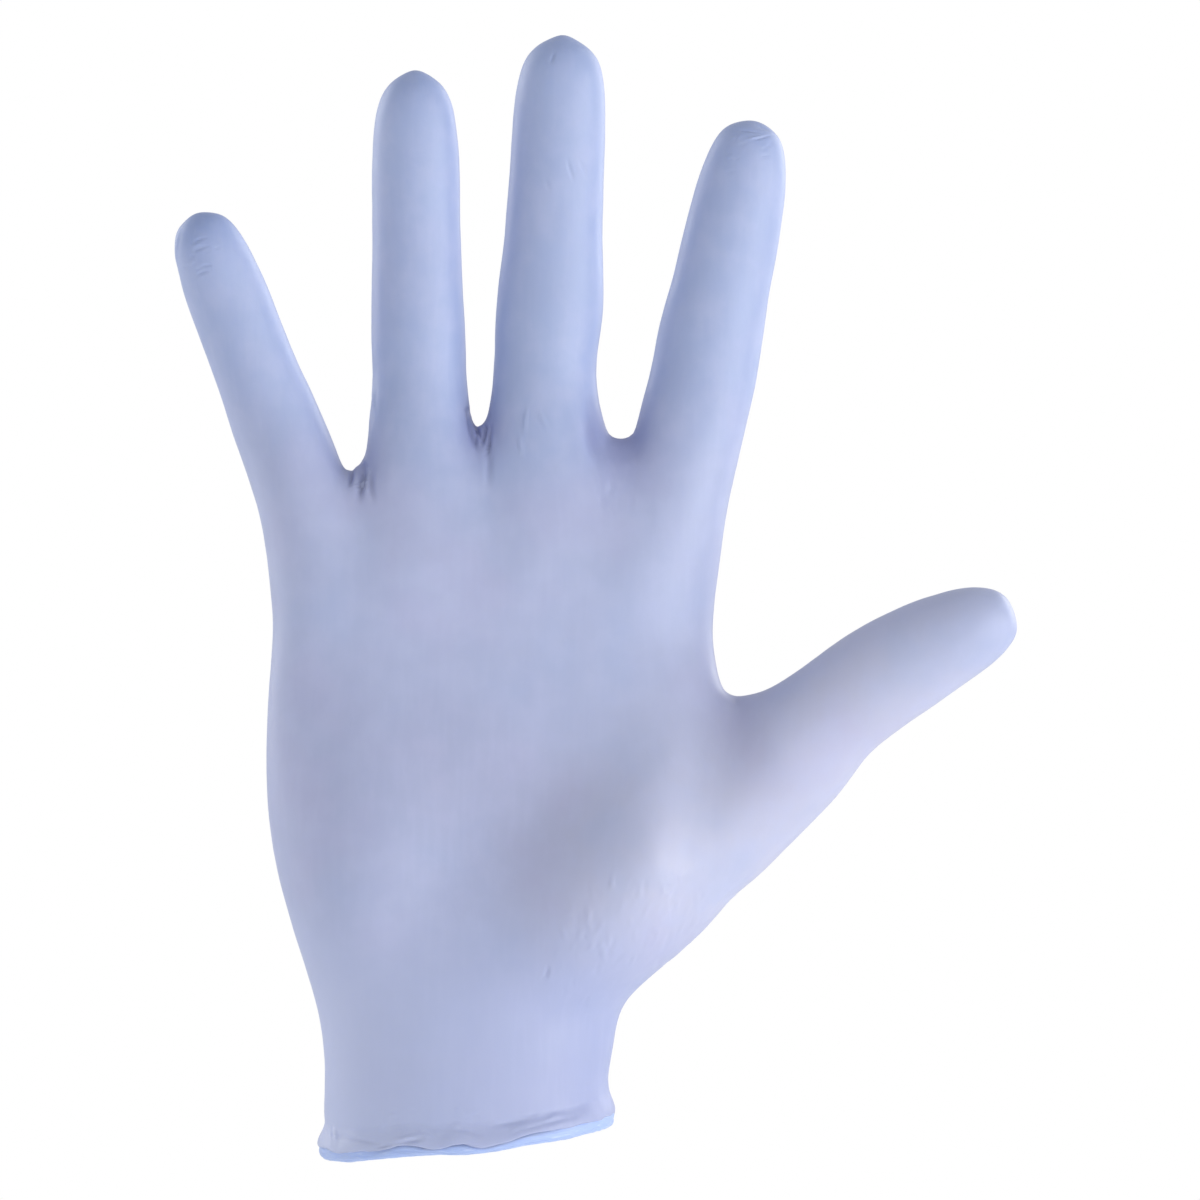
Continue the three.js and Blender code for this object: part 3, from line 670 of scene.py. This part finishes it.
def fold_push(points, normals, fold):
    """How far one fold pushes each point out, in millimetres."""
    start = np.array([fold.x, fold.z])
    along = np.array([fold.to_x, fold.to_z]) - start
    length = np.linalg.norm(along)
    along = along / length
    flat = points[:, [0, 2]] - start
    share = flat @ along / length
    off = flat @ np.array([-along[1], along[0]])

    # The fold winds a little, deepens from its start, fades to its end and has low banks on both sides.
    off = off + 0.5 * fold.wide * np.sin(3.1 * share + fold.x)
    beyond = np.maximum(np.maximum(-share, share - 1), 0) * length
    reach = (off / fold.wide) ** 2 + (beyond / fold.wide) ** 2
    begin = fold.start + (1 - fold.start) * eased(share, 0.0, 0.4)
    taper = np.where(share < 0, fold.start, begin) * (1 - eased(share, 0.45, 1.05))
    valley = (1 - 0.55 * reach) * np.exp(-reach * 0.75)
    facing = eased(normals[:, 1] * fold.side, -0.25, 0.15)
    return -fold.deep * valley * taper * facing


def strewn(group, rng):
    """The small folds of one group of puckers."""
    folds = []
    while len(folds) < group.count:
        x, z = rng.uniform(-1, 1, 2)
        if x * x + z * z > 1:
            continue
        turn = math.radians(group.turn + group.spread * rng.normal())
        half = 0.5 * group.long * rng.uniform(0.5, 1.2)
        x = group.x + group.half_x * x
        z = group.z + group.half_z * z
        dx, dz = half * math.cos(turn), half * math.sin(turn)
        wide = group.wide * rng.uniform(0.8, 1.3)
        deep = group.deep * rng.uniform(0.4, 1.4) * rng.choice([-1.0, 0.7])
        folds.append(Fold(group.name, group.side, x - dx, z - dz, x + dx, z + dz, wide, deep, 0.1))
    return folds


def shape_folds(piece, film):
    """Presses the folds and puckers into the skin and draws the nubs out at the tips."""
    points = points_of(piece)
    normals = normals_of(piece)
    rng = np.random.default_rng(11)
    folds = list(FOLDS)
    for group in PUCKERS:
        folds += strewn(group, rng)
    push = np.zeros(len(points))
    for fold in folds:
        margin = 4 * fold.wide
        low = np.minimum([fold.x, fold.z], [fold.to_x, fold.to_z]) - margin
        high = np.maximum([fold.x, fold.z], [fold.to_x, fold.to_z]) + margin
        near = ((points[:, [0, 2]] > low) & (points[:, [0, 2]] < high)).all(1)
        push[near] += fold_push(points[near], normals[near], fold)
    push = push * film.fold_depth
    # Painted shade: the film is painted darker in the folds' valleys, by their depth, where the film also
    # lies double.
    put_attribute(piece, "crease", np.clip((-push - 0.12) / 0.5, 0, 1))
    push += 0.06 * rippled(points, 9.0, 1) + 0.03 * rippled(points, 3.5, 2)
    for tip in TIPS:
        close = points[distance(points, (tip.x, tip.y, tip.z)) < TIP_SEARCH]
        top = close[np.argmax(close @ tip_way(tip))]
        push += tip.nub * np.exp(-((distance(points, top) / NUB_HALF) ** 2))
    put_points(piece, points + normals * push[:, None])


def tip_way(tip):
    """Which way a digit points, in X, Y and Z."""
    way = np.array([tip.x, tip.y, tip.z]) - np.array(tip.foot)
    return way / np.linalg.norm(way)


def add_inner_wall(piece, inner, film):
    """Turns the inner copy round, sets it a wall further in, and joins it to the skin at the rim."""
    points = points_of(inner)
    normals = normals_of(inner)
    wall = film.wall / MM
    thick = wall + (INNER_WALL - wall) * eased(points[:, 2], INNER_WALL_FROM, INNER_WALL_TO)
    put_points(inner, points - normals * thick[:, None])
    inner.data.flip_normals()
    select_only(inner)
    piece.select_set(True)
    bpy.context.view_layer.objects.active = piece
    bpy.ops.object.join()
    bpy.ops.object.mode_set(mode="EDIT")
    select_parts(piece, "edges", lambda edge: edge.is_boundary)
    bpy.ops.mesh.bridge_edge_loops()
    left = select_parts(piece, "edges", lambda edge: edge.is_boundary)
    bpy.ops.object.mode_set(mode="OBJECT")
    if left:
        raise RuntimeError(f"{left} edges of the film are still open")


def mark_film(piece):
    """Gives the film's points the shares of the colours that its material mixes."""
    points = points_of(piece)
    x, z = points[:, 0], points[:, 2]
    flat = points[:, [0, 2]]
    along = np.clip((flat - PALE_START) @ PALE_RUN / (PALE_RUN @ PALE_RUN), 0, 1)
    aside = np.linalg.norm(flat - PALE_START - along[:, None] * PALE_RUN, axis=1)
    tip = np.zeros(len(points))
    for row in TIPS:
        away = distance(points, (row.x, row.y, row.z))
        tip = np.maximum(tip, row.deep * np.exp(-((away / TIP_REACH) ** 2)))
    # Painted shade round the floors of the webs.
    web = np.zeros(len(points))
    for row in WEBS:
        away = np.hypot(x - row.x, (z - row.z) * 0.75)
        web = np.maximum(web, row.deep * np.exp(-((away / row.reach) ** 2)))
    put_attribute(piece, "cool", eased(z - 0.30 * np.abs(x - 6), COOL_FROM, COOL_TO))
    # Painted light and shade: the cuff's colour, mixed in by the cuff share, goes from lighter on the left to
    # darker on the right by the side share.
    put_attribute(piece, "cuff", CUFF_SHARE * (1 - eased(z, CUFF_FROM, CUFF_TO)))
    # Painted shade: the palm is a little darker round a spot in its middle.
    put_attribute(piece, "dusk", np.exp(-((x - PALM_SHADE_MIDDLE[0]) ** 2 + (z - PALM_SHADE_MIDDLE[1]) ** 2) / PALM_SHADE_REACH**2))
    put_attribute(piece, "side", eased(x, -CUFF_HALF, CUFF_HALF))
    put_attribute(piece, "pale", 1 - eased(aside, PALE_FROM, PALE_TO))
    put_attribute(piece, "tip", tip)
    put_attribute(piece, "web", web)


# The bead


def shape_bead(piece, bead, film):
    """Bends a plain ring into the uneven roll at the wrist edge, with its wrinkles and its lap."""
    points = points_of(piece)
    round_x = np.arctan2(points[:, 1], points[:, 0])
    turns = np.mod(round_x / (2 * math.pi) + 0.5, 1.0)
    ring = np.hypot(points[:, 0], points[:, 1]) - RING_RADIUS
    side = np.arctan2(points[:, 2], ring)
    around = 2 * math.pi * turns
    base = -np.stack([np.cos(around), np.sin(around)], 1) * RIM_HALF
    out = base / np.square(RIM_HALF)
    out /= np.linalg.norm(out, axis=1)[:, None]
    size, low, film_edge, stand, tuck = (
        round_turns(turns, column) for column in ("size", "low", "film", "stand", "tuck")
    )

    # Lumps 5 mm apart, fine crimps across the roll, and the shallow step of its last lap.
    lump = 0.08 * rippled(circled(around, BEAD_CIRCLE, side * 1.3), 5.0, 7)
    crimp = 0.035 * rippled(circled(around + 0.05 * side, BEAD_CIRCLE, side * 0.5), 1.1, 8)
    lap_at = -0.5 + 0.5 * np.sin(around * 2 + 0.7) + 0.25 * np.sin(around * 7)
    off = np.angle(np.exp(1j * (side - lap_at)))
    lap = -0.16 * np.exp(-((off / 0.16) ** 2)) + 0.08 * eased(off, 0.1, 0.5) * (1 - eased(off, 0.6, 1.6))
    swell = 1 + lump + crimp + lap

    # The section is a rounded square, as thick and high as the edge's table says.
    thick = bead.thickness / MM * np.sqrt(size) / 2
    high = bead.height / MM * size / 2
    level = np.sign(np.cos(side)) * np.abs(np.cos(side)) ** BEAD_ROUNDNESS
    rise = np.sign(np.sin(side)) * np.abs(np.sin(side)) ** BEAD_ROUNDNESS
    reach = 0.94 * film.flare / MM * stand - film.wall / MM - tuck
    middle = base + out * (reach - thick)[:, None]
    made = np.zeros_like(points)
    made[:, :2] = middle + out * (thick * swell * level)[:, None]
    made[:, 2] = low + high + high * swell * rise
    put_points(piece, made)
    # Painted shadow: the bead is painted darker just under the film's edge, where the edge shades it.
    deep = np.clip(tuck / 0.6, 0, 1)
    put_attribute(piece, "under", deep * (1 - eased(film_edge - made[:, 2], 0.1, 0.75)))


# Materials


def node(tree, kind, settings=None, **links):
    """Adds a node with its settings, and sets or links its inputs, by name with _ for a space or as inN."""
    made = tree.nodes.new(kind)
    for key, value in (settings or {}).items():
        setattr(made, key, value)
    for key, value in links.items():
        if key.startswith("in"):
            socket = made.inputs[int(key[2:])]
        else:
            socket = made.inputs[key.replace("_", " ")]
        if isinstance(value, bpy.types.NodeSocket):
            tree.links.new(value, socket)
        else:
            socket.default_value = value
    return made


def new_material(name):
    """A material without nodes."""
    material = bpy.data.materials.new(name)
    material.use_nodes = True
    material.node_tree.nodes.clear()
    return material


# The settings of the nodes that mix two colours and that move a value from one range to another.
MIX = {"data_type": "RGBA", "blend_type": "MIX"}
MULTIPLY = {"data_type": "RGBA", "blend_type": "MULTIPLY"}
SMOOTH = {"interpolation_type": "SMOOTHSTEP"}


# Nitrile rubber film, dipped on a smooth former and chlorinated: an even, milky blue violet with a soft satin
# gleam, a shade bluer where it is stretched over the fingers, deeper where the dip drained to the tips, with
# a faint grain that the wash leaves. Painted shade darkens the webs, the folds' valleys and the palm's
# middle, and the cuff is painted lighter on the left and darker on the right as painted light and shade.
def dipped_nitrile(film):
    material = new_material("nitrile_film_dipped_satin")
    tree = material.node_tree
    place = node(tree, "ShaderNodeTexCoord").outputs["Object"]
    cool, pale, cuff, side, dusk, tip, web, crease = (
        node(tree, "ShaderNodeAttribute", {"attribute_name": name}).outputs["Fac"]
        for name in ("cool", "pale", "cuff", "side", "dusk", "tip", "web", "crease")
    )

    # Clouds 22 mm apart, where the film is drawn thinner and thicker, and 6 mm mottling inside them. The
    # grain of the washed film is about 0.05 mm; it is drawn at 0.45 mm so that it shows. Streaks slant
    # down the film as the dip ran, 1.6 mm apart and drawn out eight times.
    tilt = (0.0, math.radians(14), 0.0)
    turned = node(tree, "ShaderNodeMapping", Vector=place, Rotation=tilt, Scale=(1.0, 1.0, 0.125)).outputs[0]
    patterns = ((place, 22, 3.0), (place, 6, 4.0), (place, 0.45, 2.0), (turned, 1.6, 2.0))
    clouds, mottle, grain, streaks = (
        node(tree, "ShaderNodeTexNoise", Vector=at, Scale=1.0 / (apart * MM), Detail=detail).outputs["Fac"]
        for at, apart, detail in patterns
    )

    # The shares of the patterns' colours, and the roughness.
    ranges = (
        (clouds, 0.48, 0.72, 0.0, 0.28),
        (cool, 0.0, 1.0, 1.0, 0.35),
        (clouds, 0.50, 0.30, 0.0, 0.32),
        (mottle, 0.35, 0.75, 0.0, 0.35),
        (streaks, 0.40, 0.75, 0.0, 0.08),
        (mottle, 0.3, 0.7, film.roughness - 0.05, film.roughness + 0.06),
    )
    mauve, slack, blue, milky, streaked, rough = (
        node(
            tree,
            "ShaderNodeMapRange",
            SMOOTH,
            Value=value,
            From_Min=low,
            From_Max=high,
            To_Min=least,
            To_Max=most,
        ).outputs[0]
        for value, low, high, least, most in ranges
    )
    # The mauve share, and the shares of the painted shade in the webs and in the folds' valleys.
    slack_mauve, web_shade_share, crease_shade_share = (
        node(tree, "ShaderNodeMath", {"operation": "MULTIPLY"}, in0=first, in1=second).outputs[0]
        for first, second in ((mauve, slack), (web, 0.7), (crease, 0.32))
    )

    # The colours, laid over one another from the palm's up.
    # Painted light and shade: the cuff's colour goes from lighter on the left to darker on the right.
    cuff_lit_and_shaded = {"in6": linear("#bcc5e4"), "in7": linear("#a0a9cf")}
    cuff_lit_to_shaded = node(tree, "ShaderNodeMix", MIX, in0=side, **cuff_lit_and_shaded).outputs[2]
    colour = tuple(film.palm_colour)
    layers = (
        (cool, MIX, tuple(film.finger_colour)),
        (pale, MIX, tuple(film.thumb_colour)),
        (slack_mauve, MIX, linear("#b9b6d8")),
        (blue, MIX, linear("#a8b8dc")),
        (milky, MIX, linear("#bcc3e2")),
        # Painted light and shade on the cuff.
        (cuff, MIX, cuff_lit_to_shaded),
        # Painted shade in the middle of the palm.
        (dusk, MULTIPLY, linear("#f3f0f1")),
        (tip, MIX, tuple(film.tip_colour)),
        # Painted shade in the webs between the fingers.
        (web_shade_share, MIX, tuple(film.web_shade_colour)),
        # Painted shade in the folds' valleys.
        (crease_shade_share, MIX, linear("#646a9c")),
        (streaked, MIX, linear("#c3c9e6")),
    )
    for share, blend, layer in layers:
        colour = node(tree, "ShaderNodeMix", blend, in0=share, in6=colour, in7=layer).outputs[2]

    # The relief of the patterns, in millimetres.
    height = 0.0
    for pattern, rise in ((grain, 0.012), (streaks, 0.012), (mottle, 0.050)):
        added = node(tree, "ShaderNodeMath", {"operation": "MULTIPLY_ADD"}, in0=pattern, in1=rise, in2=height)
        height = added.outputs[0]
    bump = node(tree, "ShaderNodeBump", Strength=0.55, Distance=MM, Height=height).outputs[0]
    shader = node(
        tree,
        "ShaderNodeBsdfPrincipled",
        Base_Color=colour,
        Roughness=rough,
        IOR=1.52,
        Normal=bump,
        Subsurface_Weight=0.12,
        Subsurface_Radius=(0.8, 0.9, 1.4),
        Subsurface_Scale=1.2 * MM,
        Sheen_Weight=0.08,
        Sheen_Roughness=0.5,
    )
    node(tree, "ShaderNodeOutputMaterial", Surface=shader.outputs[0])
    return material


# The same nitrile rolled up on itself while it was still tacky: a dozen layers look lighter and bluer
# than one, and the roll is a little glossier, with fine laps along it.
def rolled_nitrile(bead):
    material = new_material("nitrile_bead_rolled")
    tree = material.node_tree
    place = node(tree, "ShaderNodeTexCoord").outputs["Object"]
    along = node(tree, "ShaderNodeUVMap", {"uv_map": "roll"}).outputs[0]
    under = node(tree, "ShaderNodeAttribute", {"attribute_name": "under"}).outputs["Fac"]
    edge_shadow_share = node(tree, "ShaderNodeMath", {"operation": "MULTIPLY"}, in0=under, in1=0.85).outputs[0]

    # Clouds 5 mm apart, and the laps of the roll, about 0.6 mm apart across it and 3 mm long.
    stretched = node(tree, "ShaderNodeMapping", Vector=along, Scale=(46.0, 14.0, 1.0)).outputs[0]
    clouds, laps = (
        node(tree, "ShaderNodeTexNoise", Vector=at, Scale=scale, Detail=3.0).outputs["Fac"]
        for at, scale in ((place, 1.0 / (5 * MM)), (stretched, 1.0))
    )
    ranges = ((clouds, 0.35, 0.70, 0.0, 0.55), (laps, 0.55, 0.75, 0.0, 0.5), (laps, 0.3, 0.7, 0.34, 0.46))
    deep, bright, rough = (
        node(
            tree,
            "ShaderNodeMapRange",
            SMOOTH,
            Value=value,
            From_Min=low,
            From_Max=high,
            To_Min=least,
            To_Max=most,
        ).outputs[0]
        for value, low, high, least, most in ranges
    )

    # Next to the film's edge the roll is painted deeper in colour: painted shadow that the film's edge casts
    # on it.
    colour = tuple(bead.colour)
    layers = ((deep, linear("#a9c0f2")), (bright, linear("#ccdafa")), (edge_shadow_share, linear("#6d7399")))
    for share, layer in layers:
        colour = node(tree, "ShaderNodeMix", MIX, in0=share, in6=colour, in7=layer).outputs[2]
    bump = node(tree, "ShaderNodeBump", Strength=0.5, Distance=0.25 * MM, Height=laps).outputs[0]
    shader = node(
        tree,
        "ShaderNodeBsdfPrincipled",
        Base_Color=colour,
        Roughness=rough,
        IOR=1.52,
        Normal=bump,
        Subsurface_Weight=0.15,
        Subsurface_Radius=(0.8, 0.9, 1.4),
        Subsurface_Scale=1.2 * MM,
    )
    node(tree, "ShaderNodeOutputMaterial", Surface=shader.outputs[0])
    return material


# Seamless studio paper, matt and near white, with fibres that cloud it every 9 mm.
def pale_paper():
    material = new_material("studio_paper_matt")
    tree = material.node_tree
    place = node(tree, "ShaderNodeTexCoord").outputs["Object"]
    fibre = node(tree, "ShaderNodeTexNoise", Vector=place, Scale=1.0 / (9 * MM), Detail=3.0).outputs["Fac"]
    whites = {"in6": linear("#f2f3f6"), "in7": linear("#fafafc")}
    colour = node(tree, "ShaderNodeMix", MIX, in0=fibre, **whites).outputs[2]
    shader = node(tree, "ShaderNodeBsdfPrincipled", Base_Color=colour, Roughness=0.9)
    node(tree, "ShaderNodeOutputMaterial", Surface=shader.outputs[0])
    return material


# Lights and camera

# The place that the lights face, how broad each is, and where the camera stands.
LIGHT_TARGET = Vector((0.027, 0.0, 0.100))
LIGHT_SIZE = 1.0
CAMERA_PLACE = (0.0266, -1.0, 0.108)


# Operators


class GLOVE_OT_film(bpy.types.Operator):
    """Makes the dipped film from the outer form, with its folds, its flared edge and its inner wall."""

    bl_idname = "glove.film"
    bl_label = "Dipped film"

    def execute(self, context):
        film = context.scene.glove_film
        piece = copy_outer_skin("dipped_film")
        apply_modifier(piece, "rounded", "SUBSURF", levels=1, render_levels=1)
        soften_thumb_foot(piece)
        inner = piece.copy()
        inner.data = piece.data.copy()
        context.scene.collection.objects.link(inner)
        apply_modifier(piece, "rounder", "SUBSURF", levels=1, render_levels=1)
        apply_modifier(piece, "fuller", "DISPLACE", strength=0.2 * MM, mid_level=0.0)
        cut_zones_finer(piece)
        for skin in (piece, inner):
            open_webs(skin)
            flare_edge(skin, film)
        shape_folds(piece, film)
        add_inner_wall(piece, inner, film)
        mark_film(piece)
        select_only(piece)
        bpy.ops.object.shade_smooth()
        piece.data.materials.clear()
        piece.data.materials.append(dipped_nitrile(film))
        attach(piece, "root")
        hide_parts("glove_film")
        return {"FINISHED"}


class GLOVE_OT_bead(bpy.types.Operator):
    """Makes the rolled bead under the film's wrist edge."""

    bl_idname = "glove.bead"
    bl_label = "Rolled bead"

    def execute(self, context):
        bead = context.scene.glove_bead
        bpy.ops.object.select_all(action="DESELECT")
        bpy.ops.mesh.primitive_torus_add(
            major_radius=RING_RADIUS * MM,
            minor_radius=RING_HALF * MM,
            major_segments=256,
            minor_segments=32,
            generate_uvs=True,
        )
        piece = context.object
        piece.name = "rolled_bead"
        piece.data.name = "rolled_bead"
        piece.data.uv_layers[0].name = "roll"
        shape_bead(piece, bead, context.scene.glove_film)
        select_only(piece)
        bpy.ops.object.shade_smooth()
        piece.data.materials.append(rolled_nitrile(bead))
        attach(piece, "root")
        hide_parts("cuff_bead")
        return {"FINISHED"}


class GLOVE_OT_stage(bpy.types.Operator):
    """Sets the pale floor, the soft lights and the camera."""

    bl_idname = "glove.stage"
    bl_label = "Studio"

    def execute(self, context):
        stage = context.scene.glove_stage
        bpy.ops.mesh.primitive_circle_add(
            vertices=96,
            radius=3.4,
            fill_type="NGON",
            location=(0.0, 0.0, -stage.floor_drop),
        )
        floor = context.object
        floor.name = "studio_floor"
        floor.data.materials.append(pale_paper())

        lights = (
            ("key_light", (1.20, -0.66, 0.06), stage.key_power),
            ("front_light", (0.68, -1.15, -0.13), 0.45 * stage.key_power),
            ("left_light", (-1.30, 0.0, -0.13), 0.36 * stage.fill_power),
            ("back_left_light", (-1.07, 0.63, 0.56), stage.fill_power),
            ("back_right_light", (1.0, 0.82, 0.56), stage.fill_power),
        )
        for name, place, power in lights:
            light = bpy.data.lights.new(name, "AREA")
            light.shape = "DISK"
            light.size = LIGHT_SIZE
            light.energy = power
            lamp = bpy.data.objects.new(name, light)
            lamp.location = place
            lamp.rotation_euler = (LIGHT_TARGET - Vector(place)).to_track_quat("-Z", "Y").to_euler()
            context.scene.collection.objects.link(lamp)

        world = bpy.data.worlds.new("studio_surround")
        world.use_nodes = True
        tree = world.node_tree
        tree.nodes.clear()
        seen = node(tree, "ShaderNodeLightPath").outputs["Is Camera Ray"]
        lit = node(tree, "ShaderNodeBackground", Color=linear("#f6f7fb"), Strength=stage.surround)
        shown = node(tree, "ShaderNodeBackground", Color=(1.0, 1.0, 1.0, 1.0), Strength=1.0)
        both = node(tree, "ShaderNodeMixShader", in0=seen, in1=lit.outputs[0], in2=shown.outputs[0])
        node(tree, "ShaderNodeOutputWorld", Surface=both.outputs[0])
        context.scene.world = world
        context.scene.view_settings.view_transform = "Standard"

        camera = bpy.data.cameras.new("studio_camera")
        camera.lens = 150
        camera.sensor_width = 36
        camera.clip_start = 0.01
        camera.clip_end = 100
        seat = bpy.data.objects.new("studio_camera", camera)
        seat.location = CAMERA_PLACE
        seat.rotation_euler = (math.radians(90), 0.0, 0.0)
        context.scene.collection.objects.link(seat)
        context.scene.camera = seat
        return {"FINISHED"}


class GLOVE_PT_panel(bpy.types.Panel):
    """Lists the glove's pieces with their sizes and colours."""

    bl_idname = "GLOVE_PT_panel"
    bl_label = "Examination glove"
    bl_space_type = "VIEW_3D"
    bl_region_type = "UI"
    bl_category = "Glove"

    def draw(self, context):
        scene = context.scene
        rows = (
            (scene.glove_film, "glove.film"),
            (scene.glove_bead, "glove.bead"),
            (scene.glove_stage, "glove.stage"),
        )
        for settings, operator in rows:
            box = self.layout.box()
            box.operator(operator)
            for key in settings.__annotations__:
                box.prop(settings, key)


CLASSES = (
    GloveFilmSettings,
    GloveBeadSettings,
    GloveStageSettings,
    GLOVE_OT_film,
    GLOVE_OT_bead,
    GLOVE_OT_stage,
    GLOVE_PT_panel,
)


def register():
    for made in CLASSES:
        bpy.utils.register_class(made)
    bpy.types.Scene.glove_film = bpy.props.PointerProperty(type=GloveFilmSettings)
    bpy.types.Scene.glove_bead = bpy.props.PointerProperty(type=GloveBeadSettings)
    bpy.types.Scene.glove_stage = bpy.props.PointerProperty(type=GloveStageSettings)


def unregister():
    del bpy.types.Scene.glove_stage
    del bpy.types.Scene.glove_bead
    del bpy.types.Scene.glove_film
    for made in reversed(CLASSES):
        bpy.utils.unregister_class(made)


def main():
    register()
    bpy.ops.object.select_all(action="DESELECT")
    bpy.ops.glove.film()
    bpy.ops.glove.bead()
    bpy.ops.glove.stage()
    bpy.context.view_layer.update()


if __name__ == "__main__":
    main()
